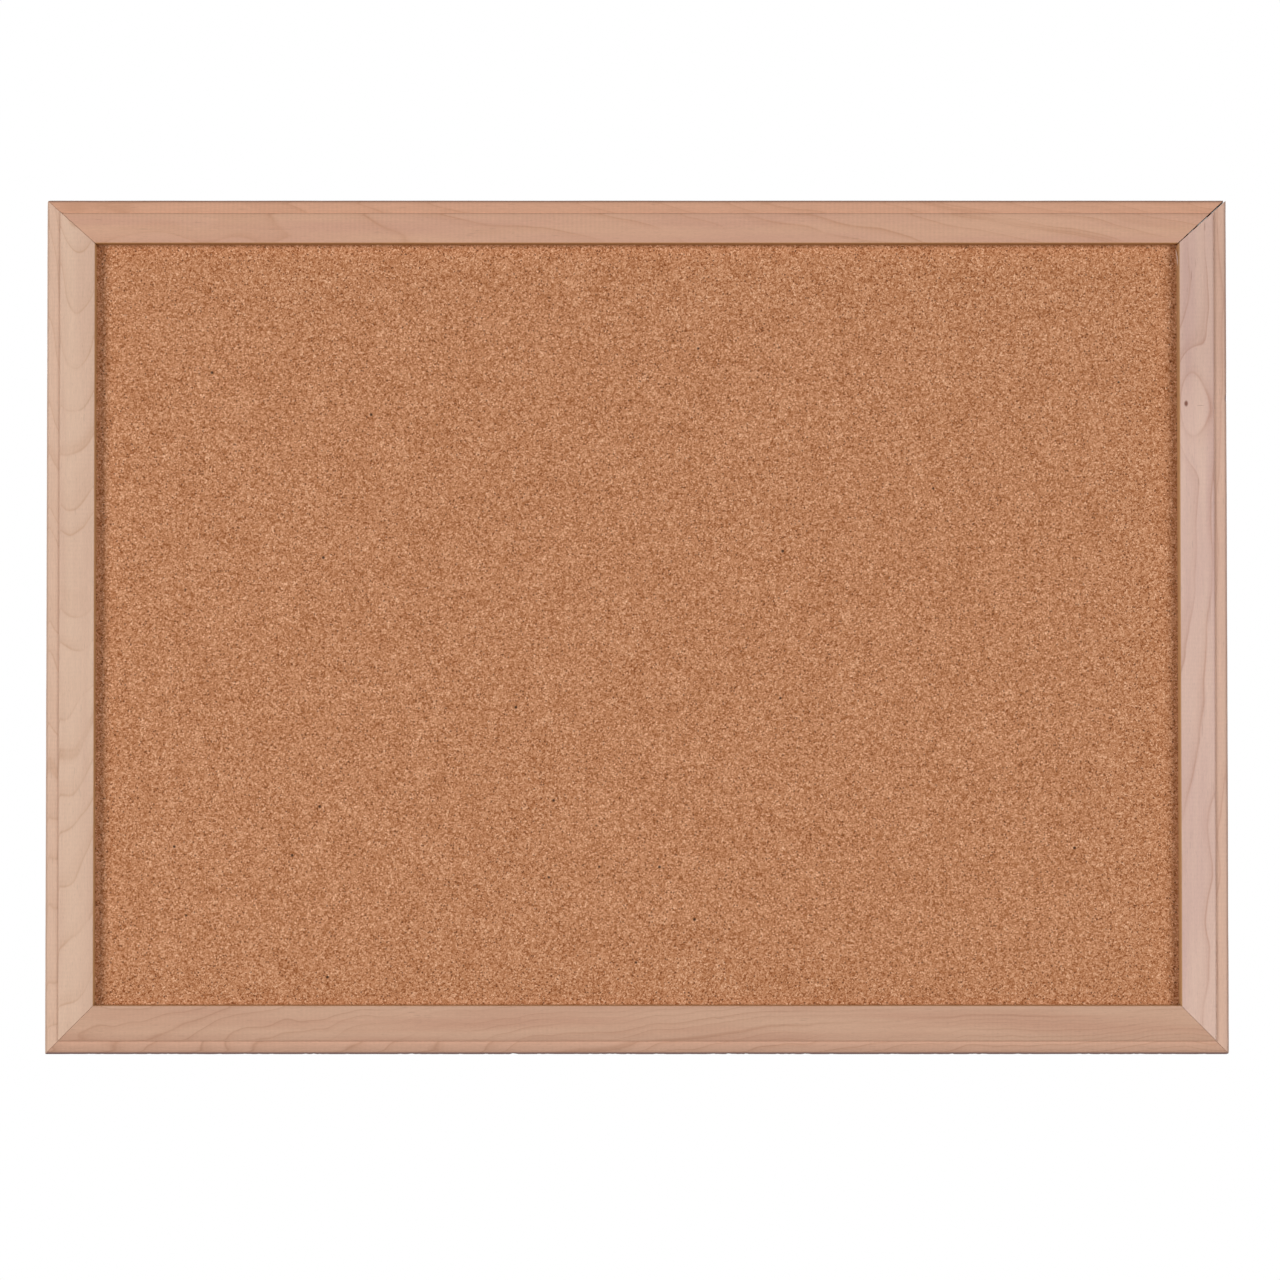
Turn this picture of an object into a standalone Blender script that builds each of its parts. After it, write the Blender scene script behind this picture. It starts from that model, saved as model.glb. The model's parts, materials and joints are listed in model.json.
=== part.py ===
"""A framed cork bulletin board, hanging upright on a wall.

The long side runs along X, the cork faces -Y, and +Z is up. The origin is on the wall's
surface, behind the middle of the board. All sizes are in metres.
"""

import math

import bmesh
import bpy
from mathutils import Euler, Vector

# The whole board, and its distance from the wall
BOARD_WIDTH = 0.600
BOARD_HEIGHT = 0.434
WALL_GAP = 0.005

# The section of a rail: a raised main band with a lower band along its outer edge,
# and a rabbet at the back that leaves a lip over the panel's edge. The top rail's main
# band is narrower than the others'.
RAIL_WIDTH = 0.025
TOP_RAIL_WIDTH = 0.0225
RAIL_DEPTH = 0.016
OUTER_BAND = 0.0068
STEP_DROP = 0.0014
OUTER_ROUND = 0.0026
STEP_ROUND = 0.0013
INNER_ROUND = 0.0008
BACK_ROUND = 0.0006
LIP_WIDTH = 0.007

# The corner joints. The mitre at the top right has opened a little at its outer end.
FIT_GAP = 0.0003
OPEN_MITRE_GAP = 0.0012

# The layers of the panel, front to back
CORK_RECESS = 0.005
CORK_THICKNESS = 0.002
CORE_THICKNESS = 0.005
BACKING_THICKNESS = 0.001

# V-nails across each mitre, driven from the back
V_NAIL_LEG = 0.0045
V_NAIL_STEEL = 0.0006
V_NAIL_LENGTH = 0.007
V_NAIL_HALF_ANGLE = math.radians(50)
V_NAIL_INSETS = {"outer": 0.0065, "inner": 0.0135}

# Flat points that hold the panel in its rabbet
POINT_WIDTH = 0.006
POINT_STEEL = 0.0005
POINT_SHOWN = 0.009
POINT_SUNK = 0.006
POINT_TIP = 0.003
POINTS_ON_RAIL = (-0.210, -0.070, 0.070, 0.210)
POINTS_ON_STILE = (-0.110, 0.110)

# D-ring hangers, one on the back of each stile
HANGER_DROP = 0.070
STRAP_WIDTH = 0.010
STRAP_STEEL = 0.0007
STRAP_LENGTH = 0.022
STRAP_CORNER = 0.003
STRAP_HOLE_RADIUS = 0.0021
SCREW_DROP = 0.017
RING_WIRE_RADIUS = 0.001
RING_HALF_WIDTH = 0.0072
RING_SHOULDER = 0.004
RING_CORNER = 0.002
SCREW_SHANK_RADIUS = 0.0016
SCREW_HEAD_RADIUS = 0.0032
SCREW_HEAD_HEIGHT = 0.0019
SCREW_HEAD_STEPS = 6
SCREW_LENGTH = 0.0105
SCREW_TIP = 0.003
RECESS_WIDTH = 0.0008
RECESS_SPAN = 0.0036
RECESS_DEPTH = 0.0010

# Rubber bumpers at the back corners
BUMPER_RADIUS = 0.006
BUMPER_ROUND = 0.0012
BUMPER_DROP = 0.034

# How finely round stretches are divided, and the right angle they are measured in
ARC_STEPS = 5
TURN_STEPS = 24
QUARTER = math.pi / 2

# Places that follow from the sizes above
RAIL_BACK_Y = -WALL_GAP
RAIL_FRONT_Y = RAIL_BACK_Y - RAIL_DEPTH
LIP_DEPTH = CORK_RECESS - FIT_GAP
PANEL_INSET = RAIL_WIDTH - LIP_WIDTH + 2 * FIT_GAP
PANEL_TOP_INSET = TOP_RAIL_WIDTH - LIP_WIDTH + 2 * FIT_GAP
CORK_FRONT_Y = RAIL_FRONT_Y + CORK_RECESS
CORE_FRONT_Y = CORK_FRONT_Y + CORK_THICKNESS + FIT_GAP
BACKING_FRONT_Y = CORE_FRONT_Y + CORE_THICKNESS + FIT_GAP
POINT_FRONT_Y = BACKING_FRONT_Y + BACKING_THICKNESS + FIT_GAP
STILE_BACK_CENTRE = (RAIL_WIDTH - LIP_WIDTH) / 2
HANGER_X = BOARD_WIDTH / 2 - STILE_BACK_CENTRE
HANGER_Z = BOARD_HEIGHT / 2 - HANGER_DROP
STRAP_BACK_Y = RAIL_BACK_Y + FIT_GAP
LOOP_INNER_RADIUS = RING_WIRE_RADIUS + FIT_GAP
LOOP_RADIUS = LOOP_INNER_RADIUS + STRAP_STEEL / 2
HINGE_Y = STRAP_BACK_Y + STRAP_STEEL + LOOP_INNER_RADIUS
FRONT_PLY_SHIFT = STRAP_STEEL + FIT_GAP
HEAD_SEAT_Y = STRAP_BACK_Y + STRAP_STEEL + FRONT_PLY_SHIFT + FIT_GAP

# Sides of the board in order round it: the angle that turns the left stile onto each, its
# length and its width
SIDES = {
    "left_stile": (0.0, BOARD_HEIGHT, RAIL_WIDTH),
    "top_rail": (QUARTER, BOARD_WIDTH, TOP_RAIL_WIDTH),
    "right_stile": (2 * QUARTER, BOARD_HEIGHT, RAIL_WIDTH),
    "bottom_rail": (3 * QUARTER, BOARD_WIDTH, RAIL_WIDTH),
}
CORNERS = {
    "top_left": (-1, 1),
    "top_right": (1, 1),
    "bottom_left": (-1, -1),
    "bottom_right": (1, -1),
}


# ---------------------------------------------------------------- scene and materials


def clear_scene():
    for old in list(bpy.data.objects):
        bpy.data.objects.remove(old, do_unlink=True)


def make_collection(name):
    collection = bpy.data.collections.new(name)
    bpy.context.scene.collection.children.link(collection)
    return collection


def make_material(name, colour, roughness, metallic=0.0):
    material = bpy.data.materials.new(name)
    material.use_nodes = True
    shader = material.node_tree.nodes["Principled BSDF"]
    shader.inputs["Base Color"].default_value = (*colour, 1.0)
    shader.inputs["Roughness"].default_value = roughness
    shader.inputs["Metallic"].default_value = metallic
    material.diffuse_color = (*colour, 1.0)
    return material


def make_materials():
    return {
        "left_stile": make_material("left_stile_wood", (0.66, 0.47, 0.37), 0.65),
        "right_stile": make_material("right_stile_wood", (0.63, 0.43, 0.36), 0.65),
        "top_rail": make_material("top_rail_wood", (0.60, 0.34, 0.24), 0.65),
        "bottom_rail": make_material("bottom_rail_wood", (0.55, 0.32, 0.23), 0.65),
        "cork": make_material("cork", (0.47, 0.21, 0.10), 0.9),
        "softboard": make_material("softboard", (0.36, 0.25, 0.15), 0.95),
        "hardboard": make_material("hardboard", (0.23, 0.13, 0.07), 0.7),
        "blued_steel": make_material("blued_steel", (0.18, 0.19, 0.21), 0.45, 1.0),
        "zinc_steel": make_material("zinc_steel", (0.66, 0.66, 0.64), 0.35, 1.0),
        "rubber": make_material("rubber", (0.06, 0.06, 0.06), 0.8),
    }


# ---------------------------------------------------------------- shared shape helpers


def give_object(name, mesh, collection, material=None, smooth=False):
    thing = bpy.data.objects.new(name, mesh)
    collection.objects.link(thing)
    if material:
        mesh.materials.clear()
        mesh.materials.append(material)
    if smooth:
        mesh.shade_smooth()
        mesh.set_sharp_from_angle(angle=math.radians(35))
    return thing


def as_cutter(thing):
    thing.hide_render = True
    thing.display_type = "WIRE"
    return thing


def curve_to_mesh(thing, name):
    """The evaluated mesh of a curve object, with its caps welded on. The curve goes."""
    bpy.context.view_layer.update()
    ready = thing.evaluated_get(bpy.context.evaluated_depsgraph_get())
    mesh = bpy.data.meshes.new_from_object(ready)
    mesh.name = name
    bpy.data.objects.remove(thing, do_unlink=True)
    shape = bmesh.new()
    shape.from_mesh(mesh)
    bmesh.ops.remove_doubles(shape, verts=shape.verts, dist=1e-6)
    bmesh.ops.recalc_face_normals(shape, faces=shape.faces)
    shape.to_mesh(mesh)
    shape.free()
    return mesh


def extruded_outline(name, outline, thickness, collection):
    """A mesh of a closed flat outline, with its thickness centred on local Z."""
    curve = bpy.data.curves.new(name, "CURVE")
    curve.dimensions = "2D"
    curve.fill_mode = "BOTH"
    curve.extrude = thickness / 2
    spline = curve.splines.new("POLY")
    spline.points.add(len(outline) - 1)
    for point, (x, y) in zip(spline.points, outline):
        point.co = (x, y, 0.0, 1.0)
    spline.use_cyclic_u = True
    return curve_to_mesh(give_object(name, curve, collection), name)


def arc(centre, radius, start, end, steps=ARC_STEPS):
    """Points along a circular arc, with both its ends."""
    angles = [start + (end - start) * i / steps for i in range(steps + 1)]
    return [
        (centre[0] + radius * math.cos(a), centre[1] + radius * math.sin(a))
        for a in angles
    ]


def make_rod(name, radius, length, collection):
    """A round cutter along Y, centred on its own origin."""
    mesh = bpy.data.meshes.new(name)
    shape = bmesh.new()
    bmesh.ops.create_cone(
        shape, cap_ends=True, segments=TURN_STEPS, radius1=radius, radius2=radius, depth=length
    )
    shape.to_mesh(mesh)
    shape.free()
    rod = as_cutter(give_object(name, mesh, collection))
    rod.rotation_euler = Euler((QUARTER, 0, 0))
    return rod


def make_box(name, size, collection, material=None):
    mesh = bpy.data.meshes.new(name)
    shape = bmesh.new()
    bmesh.ops.create_cube(shape, size=1.0)
    bmesh.ops.scale(shape, vec=size, verts=shape.verts)
    shape.to_mesh(mesh)
    shape.free()
    return give_object(name, mesh, collection, material)


def cut(thing, cutter):
    modifier = thing.modifiers.new(cutter.name, "BOOLEAN")
    modifier.operation = "DIFFERENCE"
    modifier.object = cutter


def side_point(angle, inset, along=0.0):
    """The X and Z of a place on a side: its inset from the outer edge, and its distance
    along the side from the side's middle."""
    half = BOARD_WIDTH / 2 if abs(math.cos(angle)) > 0.5 else BOARD_HEIGHT / 2
    reach = half - inset
    x = -reach * math.cos(angle) + along * math.sin(angle)
    z = reach * math.sin(angle) + along * math.cos(angle)
    return x, z


# ---------------------------------------------------------------- the wooden frame


def rail_section(width):
    """The outline of a rail: X runs inwards from the board's edge, Y from front to back."""
    step_x = OUTER_BAND + STEP_ROUND
    inner_x = width - INNER_ROUND
    rabbet_x = width - LIP_WIDTH
    back_y = RAIL_DEPTH - BACK_ROUND
    return [
        *arc((OUTER_ROUND, STEP_DROP + OUTER_ROUND), OUTER_ROUND, 2 * QUARTER, 3 * QUARTER),
        (OUTER_BAND, STEP_DROP),
        *arc((step_x, STEP_ROUND), STEP_ROUND, 2 * QUARTER, 3 * QUARTER),
        *arc((inner_x, INNER_ROUND), INNER_ROUND, -QUARTER, 0),
        (width, LIP_DEPTH),
        (rabbet_x, LIP_DEPTH),
        (rabbet_x, RAIL_DEPTH),
        *arc((BACK_ROUND, back_y), BACK_ROUND, QUARTER, 2 * QUARTER),
    ]


def neighbour_width(name, end):
    """The width of the side that a rail meets at its end, 1 or -1."""
    order = list(SIDES)
    neighbour = order[(order.index(name) + end) % len(order)]
    return SIDES[neighbour][2]


def mitre(mesh, name, end, lean=0.0):
    """Cuts one end of a rail from the outer corner to the inner one, a little short of the
    joint. The lean turns the cut about the joint's inner end, so that it opens at its
    outer end."""
    _, length, width = SIDES[name]
    other_width = neighbour_width(name, end)
    corner_angle = math.atan2(width, other_width) + lean
    normal = Vector((math.cos(corner_angle), 0, end * math.sin(corner_angle)))
    inner_end = Vector((width, 0, end * (length / 2 - other_width)))
    shape = bmesh.new()
    shape.from_mesh(mesh)
    everything = shape.verts[:] + shape.edges[:] + shape.faces[:]
    bmesh.ops.bisect_plane(
        shape,
        geom=everything,
        plane_co=inner_end - normal * FIT_GAP / 2,
        plane_no=normal,
        clear_outer=True,
    )
    open_edges = [edge for edge in shape.edges if edge.is_boundary]
    bmesh.ops.holes_fill(shape, edges=open_edges, sides=0)
    shape.to_mesh(mesh)
    shape.free()


def make_rail(name, materials, collection):
    angle, length, width = SIDES[name]
    mesh = extruded_outline(name, rail_section(width), length + RAIL_WIDTH, collection)
    opening = (OPEN_MITRE_GAP - FIT_GAP) / math.hypot(RAIL_WIDTH, TOP_RAIL_WIDTH)
    lean = math.atan(opening) if name == "top_rail" else 0.0
    mitre(mesh, name, 1, lean)
    mitre(mesh, name, -1)
    rail = give_object(name, mesh, collection, materials[name], smooth=True)
    x, z = side_point(angle, 0.0)
    rail.location = (x, RAIL_FRONT_Y, z)
    rail.rotation_euler = Euler((0, angle, 0))
    return rail


# ---------------------------------------------------------------- corner fasteners


def v_nail_outline(steel, leg):
    """A V with its point towards +X, and both legs opening towards -X."""
    turn = V_NAIL_HALF_ANGLE
    along = Vector((-math.cos(turn), math.sin(turn)))
    across = Vector((math.sin(turn), math.cos(turn))) * steel / 2
    outer_point = Vector((steel / 2 / math.sin(turn), 0))
    upper = [outer_point, along * leg + across, along * leg - across, -outer_point]
    lower = [Vector((point.x, -point.y)) for point in upper[2:0:-1]]
    return [tuple(point) for point in upper + lower]


def stand_v_nail(thing, corner, inset):
    side_x, side_z = CORNERS[corner]
    slope = SIDES[corner.split("_")[0] + "_rail"][2] / RAIL_WIDTH
    deep = V_NAIL_LENGTH / 2 + FIT_GAP
    thing.location = (
        side_x * (BOARD_WIDTH / 2 - inset),
        RAIL_BACK_Y - deep,
        side_z * (BOARD_HEIGHT / 2 - inset * slope),
    )
    inward = math.atan2(side_z * slope, -side_x)
    thing.rotation_euler = Euler((QUARTER, inward, 0), "XYZ")


def make_v_nails(rails, materials, collection, cutters):
    """Two V-nails in each mitre, half in one rail and half in the other, and their slots."""
    for corner in CORNERS:
        level, side = corner.split("_")
        for place, inset in V_NAIL_INSETS.items():
            name = f"v_nail_{corner}_{place}"
            outline = v_nail_outline(V_NAIL_STEEL, V_NAIL_LEG)
            mesh = extruded_outline(name, outline, V_NAIL_LENGTH, collection)
            nail = give_object(name, mesh, collection, materials["blued_steel"])
            stand_v_nail(nail, corner, inset)

            outline = v_nail_outline(V_NAIL_STEEL + 2 * FIT_GAP, V_NAIL_LEG + FIT_GAP)
            depth = V_NAIL_LENGTH + 4 * FIT_GAP
            mesh = extruded_outline(f"slot_{name}", outline, depth, cutters)
            slot = as_cutter(give_object(f"slot_{name}", mesh, cutters))
            stand_v_nail(slot, corner, inset)
            cut(rails[f"{level}_rail"], slot)
            cut(rails[f"{side}_stile"], slot)


# ---------------------------------------------------------------- the panel


def make_sheet(name, front_y, thickness, material, collection):
    """One flat layer of the panel, with its edges a little inside the rabbet."""
    height = BOARD_HEIGHT - PANEL_INSET - PANEL_TOP_INSET
    size = (BOARD_WIDTH - 2 * PANEL_INSET, thickness, height)
    sheet = make_box(name, size, collection, material)
    sheet.location = (0, front_y + thickness / 2, (PANEL_INSET - PANEL_TOP_INSET) / 2)


def make_panel(materials, collection):
    layers = {
        "cork_sheet": (CORK_FRONT_Y, CORK_THICKNESS, materials["cork"]),
        "softboard_core": (CORE_FRONT_Y, CORE_THICKNESS, materials["softboard"]),
        "backing_board": (BACKING_FRONT_Y, BACKING_THICKNESS, materials["hardboard"]),
    }
    for name, (front_y, thickness, material) in layers.items():
        make_sheet(name, front_y, thickness, material, collection)


def point_outline(grow):
    """A flat strip along X with a sharp end at -X, widened all round by grow."""
    half = POINT_WIDTH / 2 + grow
    return [
        (-POINT_SUNK - 2 * grow, 0),
        (-POINT_SUNK + POINT_TIP, -half),
        (POINT_SHOWN + grow, -half),
        (POINT_SHOWN + grow, half),
        (-POINT_SUNK + POINT_TIP, half),
    ]


def stand_point(thing, rail_name, along):
    angle, _, width = SIDES[rail_name]
    x, z = side_point(angle, width - LIP_WIDTH, along)
    thing.location = (x, POINT_FRONT_Y + POINT_STEEL / 2, z)
    thing.rotation_euler = Euler((QUARTER, angle, 0), "XYZ")


def make_panel_points(rails, materials, collection, cutters):
    """The flat points behind the panel, each driven sideways into its rail."""
    for rail_name in SIDES:
        side = rail_name.split("_")[0]
        spots = POINTS_ON_RAIL if rail_name.endswith("rail") else POINTS_ON_STILE
        for number, along in enumerate(spots, start=1):
            name = f"panel_point_{side}_{number}"
            mesh = extruded_outline(name, point_outline(0.0), POINT_STEEL, collection)
            point = give_object(name, mesh, collection, materials["blued_steel"])
            stand_point(point, rail_name, along)

            thick = POINT_STEEL + 2 * FIT_GAP
            mesh = extruded_outline(f"slot_{name}", point_outline(FIT_GAP), thick, cutters)
            slot = as_cutter(give_object(f"slot_{name}", mesh, cutters))
            stand_point(slot, rail_name, along)
            cut(rails[rail_name], slot)


# ---------------------------------------------------------------- the D-ring hangers


def strap_path():
    """The middle line of the folded strap in Y and Z, with the hinge at the origin: up the
    back, over the ring's bar, in under it, and down the front."""
    turn = LOOP_RADIUS - FRONT_PLY_SHIFT
    return [
        (-LOOP_RADIUS, -STRAP_LENGTH),
        *arc((0, 0), LOOP_RADIUS, 2 * QUARTER, -QUARTER, 3 * ARC_STEPS),
        *arc((0, -LOOP_RADIUS - turn), turn, QUARTER, 2 * QUARTER)[1:],
        (-turn, -STRAP_LENGTH),
    ]


def ring_path():
    """The middle line of the D: a straight bar on the hinge line, and a bow above it."""
    side = RING_HALF_WIDTH
    turn = RING_CORNER
    return [
        *arc((-side + turn, turn), turn, 3 * QUARTER, 2 * QUARTER),
        *arc((0, RING_SHOULDER), side, 2 * QUARTER, 0, 4 * ARC_STEPS),
        *arc((side - turn, turn), turn, 0, -QUARTER),
    ]


def make_strap(name, materials, collection, cutters):
    """A steel strip folded over the ring's bar, with rounded ends and a screw hole."""
    mesh = bpy.data.meshes.new(name)
    shape = bmesh.new()
    half = STRAP_WIDTH / 2
    left = [shape.verts.new((-half, y, z)) for y, z in strap_path()]
    edges = [shape.edges.new(pair) for pair in zip(left, left[1:])]
    swept = bmesh.ops.extrude_edge_only(shape, edges=edges)["geom"]
    right = [item for item in swept if isinstance(item, bmesh.types.BMVert)]
    bmesh.ops.translate(shape, verts=right, vec=(STRAP_WIDTH, 0, 0))
    shape.to_mesh(mesh)
    shape.free()
    strap = give_object(name, mesh, collection, materials["zinc_steel"])
    thick = strap.modifiers.new("sheet_steel", "SOLIDIFY")
    thick.thickness = STRAP_STEEL
    thick.offset = 0.0
    thick.use_even_offset = True

    turn = STRAP_CORNER + FIT_GAP
    corner_x = half - STRAP_CORNER
    corner_z = STRAP_CORNER - STRAP_LENGTH
    outline = [
        (half + FIT_GAP, 2 * LOOP_RADIUS),
        (-half - FIT_GAP, 2 * LOOP_RADIUS),
        *arc((-corner_x, corner_z), turn, 2 * QUARTER, 3 * QUARTER),
        *arc((corner_x, corner_z), turn, 3 * QUARTER, 4 * QUARTER),
    ]
    blank = extruded_outline(f"blank_{name}", outline, STRAP_LENGTH, cutters)
    blank = as_cutter(give_object(f"blank_{name}", blank, cutters))
    blank.rotation_euler = Euler((QUARTER, 0, 0))
    trim = strap.modifiers.new("rounded_end", "BOOLEAN")
    trim.operation = "INTERSECT"
    trim.object = blank

    hole = make_rod(f"hole_{name}", STRAP_HOLE_RADIUS, 4 * LOOP_RADIUS, cutters)
    hole.location = (0, 0, -SCREW_DROP)
    cut(strap, hole)
    return strap, [blank, hole]


def make_ring(name, materials, collection):
    """A bent wire D, with its origin on the bar that it turns about."""
    curve = bpy.data.curves.new(name, "CURVE")
    curve.dimensions = "3D"
    curve.bevel_depth = RING_WIRE_RADIUS
    curve.bevel_resolution = 2
    path = ring_path()
    spline = curve.splines.new("POLY")
    spline.points.add(len(path) - 1)
    for point, (x, z) in zip(spline.points, path):
        point.co = (x, 0.0, z, 1.0)
    spline.use_cyclic_u = True
    mesh = curve_to_mesh(give_object(name, curve, collection), name)
    ring = give_object(name, mesh, collection, materials["zinc_steel"], smooth=True)
    reach = RING_SHOULDER + RING_HALF_WIDTH
    fall = HINGE_Y - RING_WIRE_RADIUS - FIT_GAP - RAIL_BACK_Y
    ring.rotation_euler = Euler((math.asin(fall / reach), 0, 0))
    return ring


def turned(name, profile, collection, material):
    """A closed turned shape about local Z, from an open profile that starts and ends on
    the axis."""
    mesh = bpy.data.meshes.new(name)
    shape = bmesh.new()
    points = [shape.verts.new((radius, 0, height)) for radius, height in profile]
    for pair in zip(points, points[1:]):
        shape.edges.new(pair)
    shape.to_mesh(mesh)
    shape.free()
    thing = give_object(name, mesh, collection, material)
    spin = thing.modifiers.new("turned", "SCREW")
    spin.axis = "Z"
    spin.steps = TURN_STEPS
    spin.render_steps = TURN_STEPS
    spin.use_merge_vertices = True
    spin.merge_threshold = 0.00001
    spin.use_smooth_shade = False
    return thing


def make_screw(name, materials, collection, cutters):
    """A pan-head wood screw along local Z: its head is up, and it is seated at the origin."""
    profile = [
        *[
            (SCREW_HEAD_RADIUS * across, SCREW_HEAD_HEIGHT * up)
            for across, up in arc((0, 0), 1.0, QUARTER, 0, SCREW_HEAD_STEPS)
        ],
        (SCREW_SHANK_RADIUS, 0.0),
        (SCREW_SHANK_RADIUS, -SCREW_LENGTH + SCREW_TIP),
        (0.0, -SCREW_LENGTH),
    ]
    screw = turned(name, profile, collection, materials["zinc_steel"])
    slots = {
        "wide": (RECESS_SPAN, RECESS_WIDTH, 2 * RECESS_DEPTH),
        "tall": (RECESS_WIDTH, RECESS_SPAN, 2 * RECESS_DEPTH),
    }
    for way, size in slots.items():
        recess = as_cutter(make_box(f"recess_{way}_{name}", size, cutters))
        recess.location = (0, 0, SCREW_HEAD_HEIGHT)
        recess.parent = screw
        cut(screw, recess)
    return screw


def make_hangers(rails, materials, collection, cutters):
    for side, sign in (("left", -1), ("right", 1)):
        hinge = bpy.data.objects.new(f"hinge_{side}", None)
        collection.objects.link(hinge)
        hinge.location = (sign * HANGER_X, HINGE_Y, HANGER_Z)

        strap, guides = make_strap(f"hanger_strap_{side}", materials, collection, cutters)
        ring = make_ring(f"hanger_ring_{side}", materials, collection)
        for piece in (strap, ring, *guides):
            piece.parent = hinge

        screw = make_screw(f"hanger_screw_{side}", materials, collection, cutters)
        screw.location = (sign * HANGER_X, HEAD_SEAT_Y, HANGER_Z - SCREW_DROP)
        screw.rotation_euler = Euler((-QUARTER, 0, 0))

        deep = 2 * (SCREW_LENGTH - HEAD_SEAT_Y + RAIL_BACK_Y + FIT_GAP)
        pilot = make_rod(f"pilot_{side}", SCREW_SHANK_RADIUS + FIT_GAP, deep, cutters)
        pilot.location = (sign * HANGER_X, RAIL_BACK_Y, HANGER_Z - SCREW_DROP)
        cut(rails[f"{side}_stile"], pilot)


# ---------------------------------------------------------------- the bumpers


def make_bumpers(materials, collection):
    height = WALL_GAP - FIT_GAP
    turn = BUMPER_ROUND
    rim = arc((BUMPER_RADIUS - turn, height - turn), turn, QUARTER, 0)
    profile = [(0.0, height), *rim, (BUMPER_RADIUS, 0.0), (0.0, 0.0)]
    for corner, (side_x, side_z) in CORNERS.items():
        bumper = turned(f"bumper_{corner}", profile, collection, materials["rubber"])
        bumper.location = (
            side_x * HANGER_X,
            RAIL_BACK_Y + FIT_GAP,
            side_z * (BOARD_HEIGHT / 2 - BUMPER_DROP),
        )
        bumper.rotation_euler = Euler((-QUARTER, 0, 0))


def main():
    clear_scene()
    collection = make_collection("cork_bulletin_board")
    cutters = make_collection("cutters")
    materials = make_materials()
    rails = {name: make_rail(name, materials, collection) for name in SIDES}
    make_v_nails(rails, materials, collection, cutters)
    make_panel(materials, collection)
    make_panel_points(rails, materials, collection, cutters)
    make_hangers(rails, materials, collection, cutters)
    make_bumpers(materials, collection)


main()
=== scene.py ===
"""The looks of a framed cork bulletin board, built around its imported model.

Lengths are in metres unless a name says otherwise. A rail is built in its own frame: X
runs inwards from the board's outer edge, Y from front to back and Z along the rail. Its
material reads the same frame, in millimetres.
"""

import json
import math
import random
from dataclasses import dataclass, field

import bmesh
import bpy
import numpy as np
from mathutils import Euler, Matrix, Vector


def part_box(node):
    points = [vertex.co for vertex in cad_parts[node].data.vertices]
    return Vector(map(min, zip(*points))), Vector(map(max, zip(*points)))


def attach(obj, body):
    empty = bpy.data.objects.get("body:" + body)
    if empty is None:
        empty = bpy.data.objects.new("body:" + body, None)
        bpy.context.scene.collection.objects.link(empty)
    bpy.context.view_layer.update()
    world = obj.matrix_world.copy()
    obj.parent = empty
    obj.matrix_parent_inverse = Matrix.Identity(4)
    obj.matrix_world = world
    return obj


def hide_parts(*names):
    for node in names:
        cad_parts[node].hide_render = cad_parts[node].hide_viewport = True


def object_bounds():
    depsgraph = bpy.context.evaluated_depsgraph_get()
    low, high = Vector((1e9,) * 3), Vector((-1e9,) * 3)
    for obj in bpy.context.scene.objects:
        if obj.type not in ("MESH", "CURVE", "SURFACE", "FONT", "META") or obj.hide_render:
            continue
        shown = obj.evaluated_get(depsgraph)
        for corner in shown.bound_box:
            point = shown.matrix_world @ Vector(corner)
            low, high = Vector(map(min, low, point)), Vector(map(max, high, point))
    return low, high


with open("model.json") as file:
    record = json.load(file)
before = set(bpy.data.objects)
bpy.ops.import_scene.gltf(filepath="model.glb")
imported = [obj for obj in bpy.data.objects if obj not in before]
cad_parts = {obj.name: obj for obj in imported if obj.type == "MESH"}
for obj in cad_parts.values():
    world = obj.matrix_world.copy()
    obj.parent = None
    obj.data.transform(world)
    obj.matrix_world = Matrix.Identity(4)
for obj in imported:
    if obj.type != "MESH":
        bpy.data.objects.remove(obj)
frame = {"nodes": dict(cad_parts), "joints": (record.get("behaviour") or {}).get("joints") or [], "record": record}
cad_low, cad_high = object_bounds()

QUARTER = math.pi / 2
MM = 0.001
SEED = 11

# Places that the frame gives
STILE_LOW, STILE_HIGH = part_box("left_stile")
TOP_RAIL_LOW, TOP_RAIL_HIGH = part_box("top_rail")
CORK_LOW, CORK_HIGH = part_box("cork_sheet")
BACKING_LOW, BACKING_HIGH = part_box("backing_board")
FRONT_Y = STILE_LOW.y
BACK_Y = STILE_HIGH.y
BOARD_WIDTH = cad_high.x - cad_low.x
BOARD_HEIGHT = cad_high.z - cad_low.z

# The section of a rail
FIT_GAP = 0.0003
RAIL_WIDTH = STILE_HIGH.x - STILE_LOW.x
TOP_RAIL_WIDTH = TOP_RAIL_HIGH.z - TOP_RAIL_LOW.z
RAIL_DEPTH = BACK_Y - FRONT_Y
LIP_DEPTH = CORK_LOW.y - FRONT_Y - FIT_GAP
LIP_WIDTH = STILE_HIGH.x - CORK_LOW.x + 2 * FIT_GAP
OUTER_BAND = 0.0068
STEP_DROP = 0.0014
OUTER_ROUND = 0.0026
STEP_ROUND = 0.0013
INNER_ROUND = 0.0008
BACK_ROUND = 0.0006
ARC_STEPS = 7
FLAT_STEP = 0.0026
STATION = 0.001

# The ends of the rails: how far each mitre stands off the corner's diagonal, and how much
# its edges are eased. The top right one gapes at its outer end, down to a certain depth.
MITRE_GAP = 0.00007
MITRE_EASE = 0.00014
OPEN_MITRE_GAP = 0.0011
GAPE_NARROWING = 0.7
GAPE_DEPTH = 0.008
GAPE_CLOSING = 0.004
CORNER_ROUND = {"left_stile": (0.0008, 0.0016), "top_rail": (0.0016, 0.0003),
                "right_stile": (0.0003, 0.0016), "bottom_rail": (0.0016, 0.0008)}

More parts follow.
